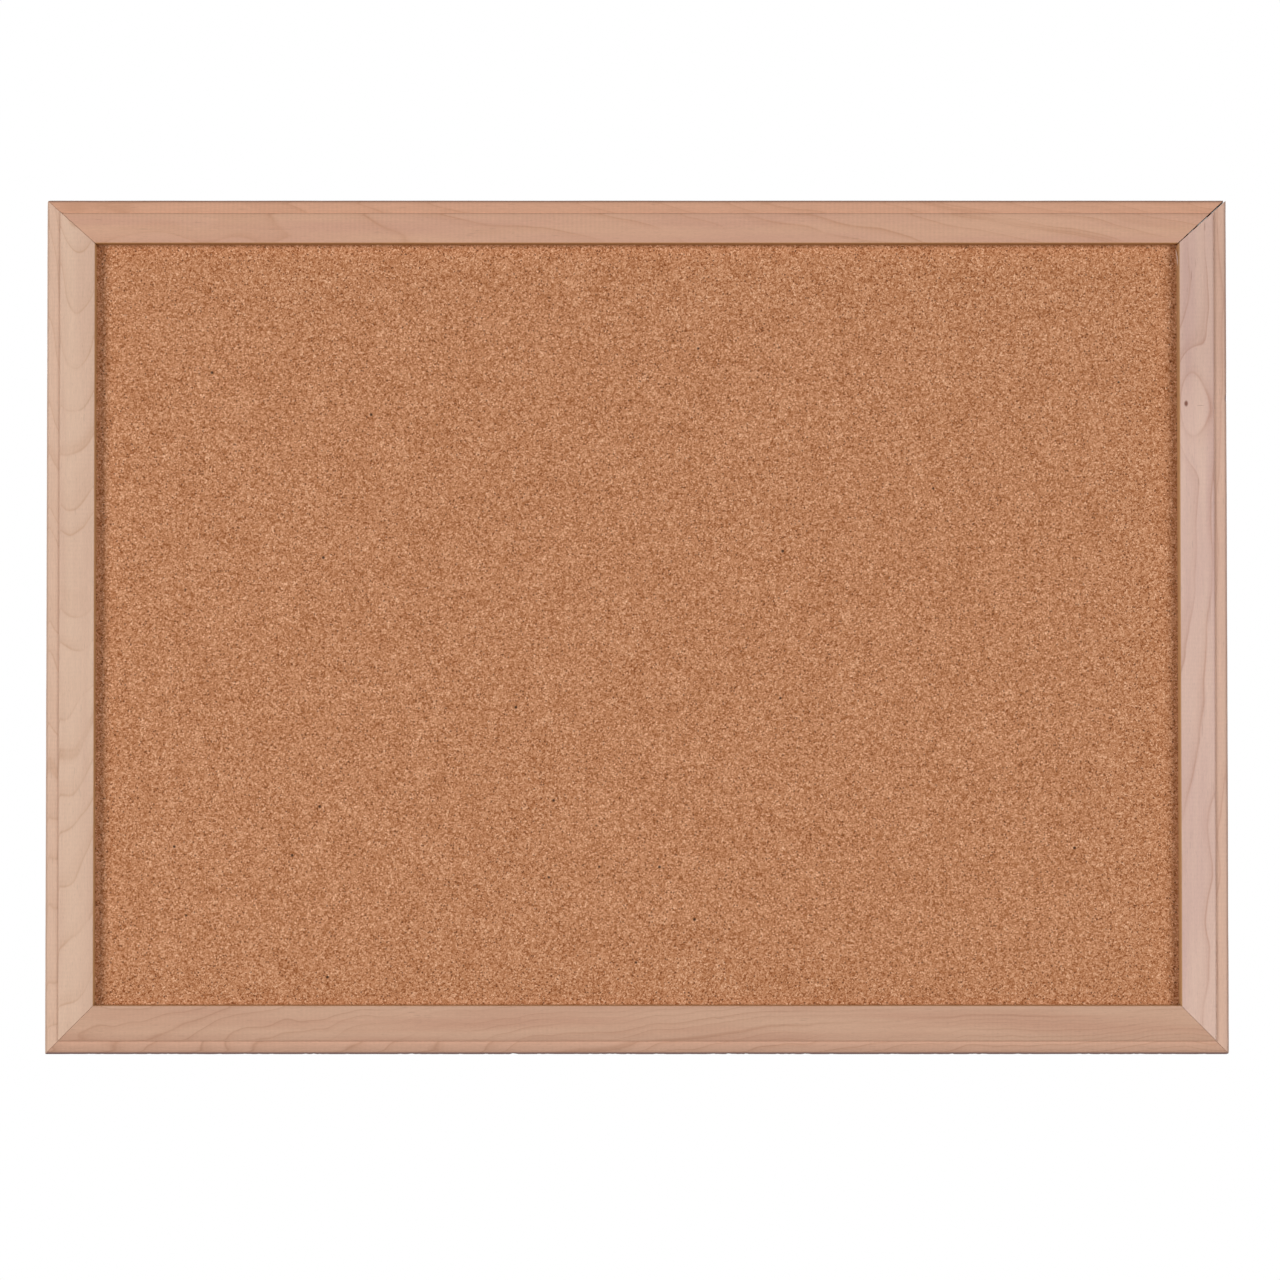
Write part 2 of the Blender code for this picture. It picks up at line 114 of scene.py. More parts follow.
# The sides in order round the board, each with the turn that brings the left stile onto it,
# its length, its width and the middle of its outer edge
SIDES = {
    "left_stile": (0.0, BOARD_HEIGHT, RAIL_WIDTH, (cad_low.x, 0.0)),
    "top_rail": (QUARTER, BOARD_WIDTH, TOP_RAIL_WIDTH, (0.0, cad_high.z)),
    "right_stile": (2 * QUARTER, BOARD_HEIGHT, RAIL_WIDTH, (cad_high.x, 0.0)),
    "bottom_rail": (3 * QUARTER, BOARD_WIDTH, RAIL_WIDTH, (0.0, cad_low.z)),
}


# ---------------------------------------------------------------- shader helpers


def srgb(red, green, blue):
    """A linear colour from its 0 to 255 screen values."""
    def linear(value):
        share = value / 255
        return share / 12.92 if share <= 0.04045 else ((share + 0.055) / 1.055) ** 2.4

    return (linear(red), linear(green), linear(blue), 1.0)


class Shader:
    """A material's node tree, with short calls that add a node and feed its inputs."""

    def __init__(self, name, **surface):
        self.material = bpy.data.materials.new(name)
        self.material.use_nodes = True
        self.tree = self.material.node_tree
        self.surface = self.tree.nodes["Principled BSDF"]
        for key, value in surface.items():
            self.set_surface(key.replace("_", " "), value)

    def set_surface(self, key, value):
        names = {name.lower(): name for name in self.surface.inputs.keys()}
        self.feed(self.surface, names[key.lower()], value)

    def feed(self, node, key, value):
        if isinstance(value, bpy.types.NodeSocket):
            self.tree.links.new(value, node.inputs[key])
        else:
            node.inputs[key].default_value = value

    def add(self, kind, inputs, **settings):
        node = self.tree.nodes.new("ShaderNode" + kind)
        for key, value in settings.items():
            setattr(node, key, value)
        for key, value in inputs.items():
            self.feed(node, key, value)
        return node

    def math(self, operation, *values):
        node = self.add("Math", dict(enumerate(values)), operation=operation)
        return node.outputs[0]

    def vector(self, operation, first, second):
        inputs = {0: first, "Scale" if operation == "SCALE" else 1: second}
        return self.add("VectorMath", inputs, operation=operation).outputs[0]

    def stretched(self, place, across, along):
        """The place scaled alike in X and Y, and by its own factor along Z."""
        return self.vector("MULTIPLY", place, (across, across, along))

    def length(self, vector):
        return self.add("VectorMath", {0: vector}, operation="LENGTH").outputs["Value"]

    def millimetres(self):
        """The place in the piece's own frame, in millimetres."""
        place = self.add("TexCoord", {}).outputs["Object"]
        return self.vector("SCALE", place, 1 / MM)

    def split(self, vector):
        return self.add("SeparateXYZ", {0: vector}).outputs

    def join(self, x, y, z):
        return self.add("CombineXYZ", {0: x, 1: y, 2: z}).outputs[0]

    def noise(self, place, detail=2.0, seed=0.0, roughness=0.5):
        inputs = {"Vector": place, "W": seed, "Scale": 1.0, "Detail": detail, "Roughness": roughness}
        return self.add("TexNoise", inputs, noise_dimensions="4D").outputs

    def cells(self, place, size, feature="F1"):
        inputs = {"Vector": place, "Scale": 1 / size}
        return self.add("TexVoronoi", inputs, feature=feature).outputs

    def ramp(self, value, stops, smooth=False):
        """A value from 0 to 1 looked up in stops of (position, grey or colour)."""
        node = self.add("ValToRGB", {0: value})
        node.color_ramp.interpolation = "EASE" if smooth else "LINEAR"
        elements = node.color_ramp.elements
        while len(elements) < len(stops):
            elements.new(0.5)
        for element, (position, colour) in zip(elements, stops):
            element.position = position
            element.color = colour if isinstance(colour, tuple) else (colour,) * 3 + (1.0,)
        return node.outputs[0]

    def fade(self, value, start, end):
        """0 up to start and 1 from end on, with a soft change between; end may be the lower."""
        if end < start:
            return self.math("SUBTRACT", 1.0, self.fade(value, end, start))
        inputs = {"Value": value, "From Min": start, "From Max": end}
        return self.add("MapRange", inputs, interpolation_type="SMOOTHSTEP").outputs[0]

    def mix(self, factor, first, second, blend="MIX"):
        node = self.add("Mix", {}, data_type="RGBA", blend_type=blend)
        for index, value in ((0, factor), (6, first), (7, second)):
            self.feed(node, index, value)
        return node.outputs[2]

    def shade(self, colour, factor, amount):
        """The colour times 1 plus amount where factor is 1, and unchanged where it is 0."""
        change = self.math("MULTIPLY_ADD", factor, amount, 1.0)
        return self.vector("SCALE", colour, change)

    def bump(self, height, depth_mm, strength=1.0):
        inputs = {"Height": height, "Distance": depth_mm * MM, "Strength": strength}
        self.set_surface("Normal", self.add("Bump", inputs).outputs[0])


# ---------------------------------------------------------------- wood


@dataclass
class Wood:
    """How one rail's board grew, was cut and was handled, and the shade painted onto it. Lengths are in
    millimetres.
    """

    light: tuple  # the colour between the rings
    dark: tuple  # the colour of the rings' latewood
    blush: tuple  # the colour of broad rosier patches
    band: tuple  # the outer band's colour
    pith: tuple  # the tree's middle, across the rail and behind its front
    lean: tuple  # how far the pith moves in both, for each length along the rail
    ring: float  # the width of a growth ring
    sway: float  # how far the rings wander
    sway_length: float  # the length along the rail in which they wander
    lines: float  # how strongly the rings show
    painted_shading: list  # (distance from the outer edge, shade): painted shade and highlight across the section, at the step and towards the outer edge
    edge: float  # how much painted plum shade the outer edge has, from 0 to 1
    lip: float  # how far the painted ochre shade of the lip's inner face reaches onto the front
    band_lines: float = 0.4  # how strongly the rings show on the outer band
    chatter: float = 0.012  # how strongly the cutter marks show
    seed: float = 0.0
    spots: list = field(default_factory=list)
    knot: tuple = None  # its place across and along the rail


@dataclass
class Spot:
    """A dark mark: its place across and along the rail and its half sizes, in millimetres,
    and its depth of colour."""

    across: float
    along: float
    half_width: float
    half_length: float
    depth: float


# The knot's place across and along the right stile, in millimetres
KNOT_PLACE = (21.3, -113.0)

# The stiles' paler, pinker colours and the rails' deeper, more orange ones are partly each board's own colour and
# partly painted sheen: the side lights catch the stiles across their grain and the rails along it.
WOODS = {
    "left_stile": Wood(
        light=srgb(223, 189, 165), dark=srgb(192, 147, 117), blush=srgb(216, 180, 157),
        band=srgb(221, 184, 160), pith=(12, 46), lean=(0.03, -0.12), ring=3.0,
        sway=9, sway_length=70, lines=0.6, seed=1.0,
        painted_shading=[(0.0, 0.96), (1.5, 1.0), (6.4, 1.0), (6.8, 0.90), (7.3, 0.98), (8.0, 1.0)],
        edge=0.15, lip=0.1,
    ),
    "top_rail": Wood(
        light=srgb(214, 168, 140), dark=srgb(190, 139, 108), blush=srgb(208, 160, 136),
        band=srgb(216, 164, 134), pith=(34, 62), lean=(0.10, 0.05), ring=3.8,
        sway=15, sway_length=95, lines=0.75, band_lines=0.5, chatter=0.022, seed=2.0,
        painted_shading=[(0.0, 0.97), (1.5, 1.0), (6.0, 1.0), (6.7, 1.06), (7.4, 0.96), (8.2, 0.97),
               (10.0, 1.0)],
        edge=0.45, lip=0.2,
    ),
    "right_stile": Wood(
        light=srgb(225, 191, 174), dark=srgb(186, 138, 118), blush=srgb(213, 177, 165),
        band=srgb(220, 180, 156), pith=(42, 80), lean=(-0.05, 0.04), ring=3.6,
        sway=8, sway_length=70, lines=0.7, seed=3.0, knot=KNOT_PLACE,
        painted_shading=[(0.0, 0.97), (1.5, 1.0), (6.4, 1.0), (6.8, 0.93), (7.3, 0.98), (8.0, 1.0)],
        edge=0.3, lip=0.5,
        # The knot's eye and a check beside it, the bruise at the nick, a broad shade towards
        # the top, and short dark streaks
        spots=[
            Spot(KNOT_PLACE[0], KNOT_PLACE[1], 1.2, 1.9, 0.9),
            Spot(14.0, -112.0, 2.4, 0.22, 0.4),
            Spot(0.4, -116.0, 1.1, 2.2, 1.0),
            Spot(16.0, -165.0, 40.0, 62.0, 0.12),
            Spot(18.4, -178.0, 0.3, 3.5, 0.35),
            Spot(16.2, -184.0, 0.25, 2.6, 0.25),
            Spot(20.6, -171.0, 0.22, 2.2, 0.25),
            Spot(11.5, -203.0, 0.3, 3.0, 0.55),
            Spot(9.6, -8.0, 0.22, 9.0, 0.3),
            Spot(10.6, -4.0, 0.2, 6.0, 0.25),
            Spot(13.8, 52.0, 0.25, 6.0, 0.3),
        ],
    ),
    "bottom_rail": Wood(
        light=srgb(208, 167, 141), dark=srgb(170, 122, 94), blush=srgb(200, 155, 130),
        band=srgb(209, 165, 140), pith=(-2, 36), lean=(0.03, 0.075), ring=1.9,
        sway=9, sway_length=50, lines=0.5, band_lines=0.5, seed=4.0,
        painted_shading=[(0.0, 0.80), (3.4, 0.93), (6.4, 1.05), (7.0, 1.06), (7.6, 0.95), (8.6, 0.94),
               (11.5, 1.0)],
        edge=1.0, lip=0.0,
    ),
}

# The length of a cutter mark along the rail, in millimetres, the colours of painted shade at the lip and the outer
# edge, and of the dark marks
CUTTER_PITCH = 2.3
LIP_SHADE_OCHRE = srgb(182, 131, 74)
EDGE_SHADE_PLUM = srgb(136, 106, 100)
SPOT_BROWN = srgb(122, 70, 52)


def ring_lines(shader, wood, place):
    """Where the growth rings' dark latewood shows, from 0 to 1. The rings lie about a pith
    line that leans from the rail's length, and they sway with slow noise."""
    x, y, z = shader.split(place)
    slow = shader.stretched(place, 0.02, 1 / wood.sway_length)
    sway = shader.noise(slow, detail=2.5, seed=wood.seed)["Color"]
    sway_x, sway_y, _ = shader.split(shader.vector("SUBTRACT", sway, (0.5, 0.5, 0.5)))
    pith_x = shader.math("MULTIPLY_ADD", z, wood.lean[0], wood.pith[0])
    pith_y = shader.math("MULTIPLY_ADD", z, wood.lean[1], wood.pith[1])
    from_x = shader.math("MULTIPLY_ADD", sway_x, wood.sway, shader.math("SUBTRACT", x, pith_x))
    from_y = shader.math("MULTIPLY_ADD", sway_y, wood.sway, shader.math("SUBTRACT", y, pith_y))
    radius = shader.length(shader.join(from_x, from_y, 0.0))
    if wood.knot:
        radius = shader.math("ADD", radius, knot_bulge(shader, wood, x, z))
    uneven = shader.noise(shader.join(shader.math("MULTIPLY", radius, 0.3), 0.0, 0.0), seed=wood.seed)
    radius = shader.math("MULTIPLY_ADD", uneven["Fac"], 2.2 * wood.ring, radius)
    share = shader.math("FRACT", shader.math("DIVIDE", radius, wood.ring))
    across_a_ring = [(0.0, 0.2), (0.05, 0.0), (0.6, 0.06), (0.88, 0.35), (0.955, 1.0), (1.0, 0.2)]
    return shader.ramp(share, across_a_ring)


def knot_bulge(shader, wood, x, z):
    """How far, in millimetres, the rings are pushed aside round the knot."""
    across = shader.math("SUBTRACT", x, wood.knot[0])
    along = shader.math("MULTIPLY", shader.math("SUBTRACT", z, wood.knot[1]), 0.36)
    away = shader.length(shader.join(across, along, 0.0))
    return shader.math("MULTIPLY", shader.fade(away, 17.0, 0.0), 8.0)


def spot_factor(shader, x, z, spot):
    across = shader.math("DIVIDE", shader.math("SUBTRACT", x, spot.across), spot.half_width)
    along = shader.math("DIVIDE", shader.math("SUBTRACT", z, spot.along), spot.half_length)
    away = shader.length(shader.join(across, along, 0.0))
    return shader.fade(away, 1.1, 0.35)


def painted_shading_factor(shader, x, painted_shading):
    """The painted shade and highlight at a distance from the outer edge."""
    reach = painted_shading[-1][0]
    stops = [(distance / reach, tone / 2) for distance, tone in painted_shading]
    half = shader.ramp(shader.math("DIVIDE", x, reach), stops)
    return shader.math("MULTIPLY", half, 2.0)


def wood_material(name, wood):
    """Pale unfinished wood: rings, fibres, pores and cutter marks, with painted shade and highlight across the
    section, at the lip and along the outer edge.
    """
    shader = Shader(f"{name}_wood", specular_ior_level=0.25)
    place = shader.millimetres()
    x, y, z = shader.split(place)
    on_front = shader.fade(y, 7.5, 5.5)
    rings = ring_lines(shader, wood, place)
    patchy = shader.noise(shader.stretched(place, 0.07, 0.012), seed=wood.seed + 5)
    presence = shader.fade(patchy["Fac"], 0.25, 0.65)
    band_edge = OUTER_BAND / MM
    on_band = shader.math("MULTIPLY", shader.fade(x, band_edge + 0.35, band_edge - 0.1), on_front)
    line_strength = shader.math("MULTIPLY", shader.math("MULTIPLY", rings, presence), wood.lines)

    broad = shader.noise(shader.stretched(place, 0.11, 0.008), seed=wood.seed + 9)
    ground = shader.mix(shader.fade(broad["Fac"], 0.35, 0.7), wood.light, wood.blush)
    colour = shader.mix(line_strength, ground, wood.dark)
    band_ground = shader.mix(shader.math("MULTIPLY", rings, wood.band_lines), wood.band, wood.dark)
    colour = shader.mix(shader.math("MULTIPLY", on_band, 0.8), colour, band_ground)

    fibre = shader.noise(shader.stretched(place, 2.6, 0.24), detail=4, seed=wood.seed)
    streak = shader.noise(shader.stretched(place, 1.3, 0.03), detail=3, seed=wood.seed + 2)
    grain = shader.noise(shader.stretched(place, 1.2, 0.8), seed=wood.seed + 7)
    colour = shader.shade(colour, shader.math("SUBTRACT", fibre["Fac"], 0.5), 0.24)
    colour = shader.shade(colour, shader.math("SUBTRACT", streak["Fac"], 0.5), 0.14)
    colour = shader.shade(colour, shader.math("SUBTRACT", grain["Fac"], 0.5), 0.12)

    dash_cells = shader.cells(shader.stretched(place, 1.0, 0.09), 0.8)
    dashes = shader.math("MULTIPLY", shader.fade(dash_cells["Distance"], 0.30, 0.12),
                         shader.fade(shader.split(dash_cells["Color"])[0], 0.90, 0.93))
    colour = shader.shade(colour, dashes, -0.16)
    pore_cells = shader.cells(shader.stretched(place, 1.0, 0.16), 0.55)
    pores = shader.fade(pore_cells["Distance"], 0.26, 0.10)
    some = shader.fade(shader.split(pore_cells["Color"])[0], 0.72, 0.80)
    pores = shader.math("MULTIPLY", pores, some)
    colour = shader.shade(colour, pores, -0.13)

    wave = shader.math("SINE", shader.math("MULTIPLY", z, 2 * math.pi / CUTTER_PITCH))
    cutter = shader.math("MULTIPLY", wave, presence)
    colour = shader.shade(colour, cutter, wood.chatter)

    # Painted shade and highlight across the section: lighter and darker bands at the step and its crease, darker
    # towards the outer edge.
    painted_shade_and_marks = shader.vector("SCALE", colour, painted_shading_factor(shader, x, wood.painted_shading))
    rail_width = SIDES[name][2] / MM
    # Painted shade: the lip's shaded ochre inner face, carried onto the front at its inner edge, widest where that
    # face shows most from the front.
    lip_shade_mask = shader.fade(x, rail_width - wood.lip - 0.35, rail_width - wood.lip)
    painted_shade_and_marks = shader.mix(shader.math("MULTIPLY", lip_shade_mask, 0.85), painted_shade_and_marks, LIP_SHADE_OCHRE)
    # Painted shade: a dark plum line along the outer edge, strongest on the bottom rail, whose underside gets
    # little light.
    edge_shade_mask = shader.math("MULTIPLY", shader.fade(x, 1.6, 0.8), wood.edge)
    edge_shade_and_spots = shader.mix(edge_shade_mask, painted_shade_and_marks, EDGE_SHADE_PLUM)
    for spot in wood.spots:
        strength = shader.math("MULTIPLY", spot_factor(shader, x, z, spot), spot.depth)
        edge_shade_and_spots = shader.mix(strength, edge_shade_and_spots, SPOT_BROWN)
    round_the_edge = shader.fade(y, 4.9, 3.3)
    painted_shade_and_marks = shader.mix(round_the_edge, painted_shade_and_marks, edge_shade_and_spots)
    shader.set_surface("Base Color", shader.mix(on_front, colour, painted_shade_and_marks))

    shader.set_surface("Roughness", shader.math("MULTIPLY_ADD", fibre["Fac"], 0.22, 0.50))
    height = shader.math("MULTIPLY_ADD", rings, -0.25, fibre["Fac"])
    height = shader.math("MULTIPLY_ADD", pores, -0.8, height)
    height = shader.math("MULTIPLY_ADD", cutter, 0.12, height)
    shader.bump(height, 0.035, 0.6)
    return shader.material


# ---------------------------------------------------------------- other materials


def cork_material():
    """Pressed cork granules: each its own brown, with pale flecks, dark bark specks and painted shade in small
    pits.
    """
    shader = Shader("cork", specular_ior_level=0.2)
    place = shader.millimetres()
    warp = shader.noise(shader.vector("SCALE", place, 1.7), detail=2)["Color"]
    warped = shader.vector("ADD", place, shader.vector("SCALE", warp, 0.7))
    coarse = shader.cells(warped, 0.78)
    fine = shader.cells(warped, 0.45)
    coarse_tone = shader.split(coarse["Color"])[0]
    fine_tone = shader.split(fine["Color"])[1]
    tone = shader.math("MULTIPLY_ADD", fine_tone, 0.45, shader.math("MULTIPLY", coarse_tone, 0.55))
    mottle = shader.noise(shader.vector("SCALE", place, 0.09), detail=4, roughness=0.6)["Fac"]
    tone = shader.math("MULTIPLY_ADD", shader.math("SUBTRACT", mottle, 0.5), 0.22, tone)
    colour = shader.ramp(tone, [
        (0.05, srgb(132, 68, 26)), (0.28, srgb(174, 111, 69)), (0.50, srgb(197, 136, 95)),
        (0.75, srgb(218, 159, 120)), (0.97, srgb(252, 202, 164)),
    ])

    specks = shader.cells(warped, 1.7)
    dark = shader.math("MULTIPLY", shader.fade(specks["Distance"], 0.34, 0.16),
                       shader.fade(shader.split(specks["Color"])[2], 0.66, 0.72))
    colour = shader.mix(shader.math("MULTIPLY", dark, 0.8), colour, srgb(92, 50, 26))
    # Painted shade: near-black dots where shade falls in small pits, with the bump sinking them.
    pits = shader.cells(place, 19.0)
    pit = shader.math("MULTIPLY", shader.fade(pits["Distance"], 0.050, 0.028),
                      shader.fade(shader.split(pits["Color"])[0], 0.45, 0.5))
    colour = shader.mix(shader.math("MULTIPLY", pit, 0.85), colour, srgb(48, 28, 18))
    shader.set_surface("Base Color", colour)

    shader.set_surface("Roughness", shader.math("MULTIPLY_ADD", fine_tone, 0.15, 0.78))
    height = shader.math("MULTIPLY_ADD", fine_tone, 0.5, coarse_tone)
    height = shader.math("MULTIPLY_ADD", dark, -0.8, height)
    height = shader.math("MULTIPLY_ADD", pit, -3.0, height)
    shader.bump(height, 0.09, 0.7)
    return shader.material


def softboard_material():
    """Soft felted fibreboard: matted pale brown fibres."""
    shader = Shader("softboard", specular_ior_level=0.15, roughness=0.95)
    place = shader.millimetres()
    layered = shader.vector("MULTIPLY", place, (2.0, 0.6, 2.0))
    fibres = shader.noise(layered, detail=6, roughness=0.7)["Fac"]
    colour = shader.ramp(fibres, [
        (0.3, srgb(118, 92, 66)), (0.5, srgb(164, 134, 100)), (0.7, srgb(196, 168, 132)),
    ])
    shader.set_surface("Base Color", colour)
    shader.bump(fibres, 0.3)
    return shader.material


# The mesh of the screen that the hardboard was pressed on, in millimetres
SCREEN_PITCH = 1.6


def hardboard_material():
    """Pressed hardboard: dark brown fibres, and the wire screen's print on its back."""
    shader = Shader("hardboard", specular_ior_level=0.3)
    place = shader.millimetres()
    x, _, z = shader.split(place)
    fibres = shader.noise(shader.vector("SCALE", place, 0.9), detail=7, roughness=0.65)["Fac"]
    clumps = shader.noise(shader.vector("SCALE", place, 0.03), detail=4, seed=3)["Fac"]
    tone = shader.math("MULTIPLY_ADD", shader.math("SUBTRACT", clumps, 0.5), 0.22, fibres)
    colour = shader.ramp(tone, [
        (0.25, srgb(92, 66, 45)), (0.5, srgb(126, 94, 67)), (0.75, srgb(158, 124, 92)),
    ])
    waves = 2 * math.pi / SCREEN_PITCH
    weave = [shader.math("SINE", shader.math("MULTIPLY", along, waves)) for along in (x, z)]
    screen = shader.math("MULTIPLY", *weave)
    colour = shader.shade(colour, screen, 0.05)
    shader.set_surface("Base Color", colour)
    shader.set_surface("Roughness", shader.math("MULTIPLY_ADD", fibres, 0.3, 0.5))
    shader.bump(shader.math("MULTIPLY_ADD", screen, 0.5, fibres), 0.12)
    return shader.material


def steel_material(name, bright, dull, stain, roughness, scratch):
    """Plated or blued sheet steel: cloudy plating, rolling scratches and a few dull spots."""
    shader = Shader(name, metallic=1.0)
    place = shader.millimetres()
    cloud = shader.noise(shader.vector("SCALE", place, 0.5), detail=5, roughness=0.6)["Fac"]
    fine = shader.noise(shader.stretched(place, 9.0, 0.7), detail=3, seed=2)["Fac"]
    spots = shader.noise(shader.vector("SCALE", place, 1.3), detail=6, seed=6)["Fac"]
    colour = shader.mix(shader.fade(cloud, 0.3, 0.7), bright, dull)
    colour = shader.mix(shader.fade(spots, 0.62, 0.74), colour, stain)
    shader.set_surface("Base Color", colour)
    rough = shader.math("MULTIPLY_ADD", cloud, 0.22, roughness)
    shader.set_surface("Roughness", shader.math("MULTIPLY_ADD", fine, scratch, rough))
    shader.bump(shader.math("MULTIPLY_ADD", fine, 0.5, cloud), 0.02, 0.5)
    return shader.material


def rubber_material():
    """Moulded black rubber, a little dusty and finely pebbled."""
    shader = Shader("rubber", specular_ior_level=0.35)
    place = shader.millimetres()
    dust = shader.noise(shader.vector("SCALE", place, 0.7), detail=5)["Fac"]
    grain = shader.noise(shader.vector("SCALE", place, 6.0), detail=3, seed=1)["Fac"]
    colour = shader.mix(shader.fade(dust, 0.4, 0.75), srgb(34, 34, 35), srgb(66, 64, 61))
    shader.set_surface("Base Color", colour)
    shader.set_surface("Roughness", shader.math("MULTIPLY_ADD", dust, 0.25, 0.55))
    shader.bump(grain, 0.04, 0.6)
    return shader.material


def make_materials():
    made = {f"{name}_wood": wood_material(name, wood) for name, wood in WOODS.items()}
    made["cork"] = cork_material()
    made["softboard"] = softboard_material()
    made["hardboard"] = hardboard_material()
    made["blued_steel"] = steel_material(
        "blued_steel", srgb(118, 122, 130), srgb(84, 88, 97), srgb(70, 58, 50), 0.28, 0.15)
    made["zinc_steel"] = steel_material(
        "zinc_steel", srgb(214, 214, 210), srgb(184, 186, 188), srgb(160, 158, 150), 0.20, 0.20)
    made["rubber"] = rubber_material()
    return made


# ---------------------------------------------------------------- mesh helpers


def new_piece(name, mesh):
    piece = bpy.data.objects.new(name, mesh)
    bpy.context.scene.collection.objects.link(piece)
    return piece


def shade(piece, sharp_degrees=35):
    piece.data.shade_smooth()
    piece.data.set_sharp_from_angle(angle=math.radians(sharp_degrees))


def apply_modifiers(piece):
    """Puts the evaluated mesh in the piece, and takes its modifiers off."""
    bpy.context.view_layer.update()
    ready = piece.evaluated_get(bpy.context.evaluated_depsgraph_get())
    mesh = bpy.data.meshes.new_from_object(ready)
    piece.modifiers.clear()
    piece.data = mesh


def cut(piece, cutter):
    modifier = piece.modifiers.new("cut", "BOOLEAN")
    modifier.operation = "DIFFERENCE"
    modifier.object = cutter
    apply_modifiers(piece)


def bevel(piece, width, segments=2, degrees=30):
    modifier = piece.modifiers.new("eased", "BEVEL")
    modifier.width = width
    modifier.segments = segments
    modifier.limit_method = "ANGLE"
    modifier.angle_limit = math.radians(degrees)
    modifier.harden_normals = False
    apply_modifiers(piece)


def arc(centre, radius, start, end, steps=ARC_STEPS):
    angles = [start + (end - start) * i / steps for i in range(steps + 1)]
    return [
        (centre[0] + radius * math.cos(a), centre[1] + radius * math.sin(a))
        for a in angles
    ]


def welded_copy(node):
    """A bmesh of a CAD node, with the vertices that its file split joined again."""
    shape = bmesh.new()
    shape.from_mesh(frame["nodes"][node].data)
    bmesh.ops.remove_doubles(shape, verts=shape.verts, dist=1e-6)
    shape.normal_update()
    return shape


def mesh_from(shape, name):
    mesh = bpy.data.meshes.new(name)
    shape.to_mesh(mesh)
    shape.free()
    return mesh


def turned(name, profile, steps=48):
    """A closed turned mesh about local Z. The profile starts and ends on the axis."""
    shape = bmesh.new()
    points = [shape.verts.new((radius, 0, height)) for radius, height in profile]
    edges = [shape.edges.new(pair) for pair in zip(points, points[1:])]
    bmesh.ops.spin(
        shape, geom=points + edges, cent=(0, 0, 0), axis=(0, 0, 1),
        angle=2 * math.pi, steps=steps, use_merge=True,
    )
    bmesh.ops.remove_doubles(shape, verts=shape.verts, dist=1e-6)
    bmesh.ops.recalc_face_normals(shape, faces=shape.faces)
    return mesh_from(shape, name)


# ---------------------------------------------------------------- the rails


def rail_outline(width):
    """The section, with its flat stretches divided."""
    step_x = OUTER_BAND + STEP_ROUND
    inner_x = width - INNER_ROUND
    rabbet_x = width - LIP_WIDTH
    back_y = RAIL_DEPTH - BACK_ROUND
    corners = [
        *arc((OUTER_ROUND, STEP_DROP + OUTER_ROUND), OUTER_ROUND, 2 * QUARTER, 3 * QUARTER),
        (OUTER_BAND, STEP_DROP),
        *arc((step_x, STEP_ROUND), STEP_ROUND, 2 * QUARTER, 3 * QUARTER),
        *arc((inner_x, INNER_ROUND), INNER_ROUND, -QUARTER, 0),
        (width, LIP_DEPTH),
        (rabbet_x, LIP_DEPTH),
        (rabbet_x, RAIL_DEPTH),
        *arc((BACK_ROUND, back_y), BACK_ROUND, QUARTER, 2 * QUARTER),
    ]
    outline = []
    for start, end in zip(corners, corners[1:] + corners[:1]):
        pieces = max(1, round(math.dist(start, end) / FLAT_STEP))
        for i in range(pieces):
            share = i / pieces
            outline.append([a + (b - a) * share for a, b in zip(start, end)])
    return np.array(outline)


def inset_outline(outline, distance):
    """The outline moved inwards by a distance at each point."""
    before = np.roll(outline, 1, axis=0)
    after = np.roll(outline, -1, axis=0)
    tangent = after - before
    tangent /= np.linalg.norm(tangent, axis=1)[:, None]
    return outline + distance * np.stack([-tangent[:, 1], tangent[:, 0]], axis=1)


def neighbour_width(name, end):
    """The width of the side that a rail meets at its end, 1 or -1."""
    order = list(SIDES)
    neighbour = order[(order.index(name) + end) % len(order)]
    return SIDES[neighbour][2]


def rail_grid(name, length, width):
    """The rail's vertices as an array of rings along it, with mitred ends."""
    outline = rail_outline(width)
    eased = inset_outline(outline, MITRE_EASE)
    opening = {1: OPEN_MITRE_GAP if name == "top_rail" else 0.0, -1: 0.0}

    def reach(ring, end):
        x, y = ring.T
        held = np.clip((GAPE_DEPTH - y) / GAPE_CLOSING, 0, 1)
        gape = opening[end] * (1 - GAPE_NARROWING * x / width) * held
        return length / 2 - x * neighbour_width(name, end) / width - MITRE_GAP - gape

    stations = round(length / STATION)
    rings = []
    for share in np.linspace(-1, 1, stations + 1):
        end = 1 if share > 0 else -1
        rings.append((outline, share * (reach(outline, end) - MITRE_EASE)))
    rings.insert(0, (eased, -reach(eased, -1)))
    rings.append((eased, reach(eased, 1)))
    return np.array([np.column_stack([ring, along]) for ring, along in rings])


def round_corners(grid, length, radii):
    """Rounds the frame's outer corners, where the rail's ends meet their neighbours."""
    for end, radius in zip((-1, 1), radii):
        x = grid[..., 0]
        short = length / 2 - end * grid[..., 2]
        over_x = radius - x
        over_z = radius - short
        away = np.hypot(over_x, over_z)
        outside = (over_x > 0) & (over_z > 0) & (away > radius)
        scale = np.where(outside, radius / np.maximum(away, 1e-9), 1.0)
        grid[..., 0] = np.where(outside, radius - over_x * scale, x)
        new_short = np.where(outside, radius - over_z * scale, short)
        grid[..., 2] = end * (length / 2 - new_short)


def wander(along, rng, reach, longest):
    """A smooth random line: a few sines of falling length."""
    line = np.zeros_like(along)
    for octave in range(5):
        wave = longest / 1.9**octave
        line += np.sin(2 * math.pi * along / wave + rng.uniform(0, 2 * math.pi)) / (octave + 1)
    return reach * line / 2


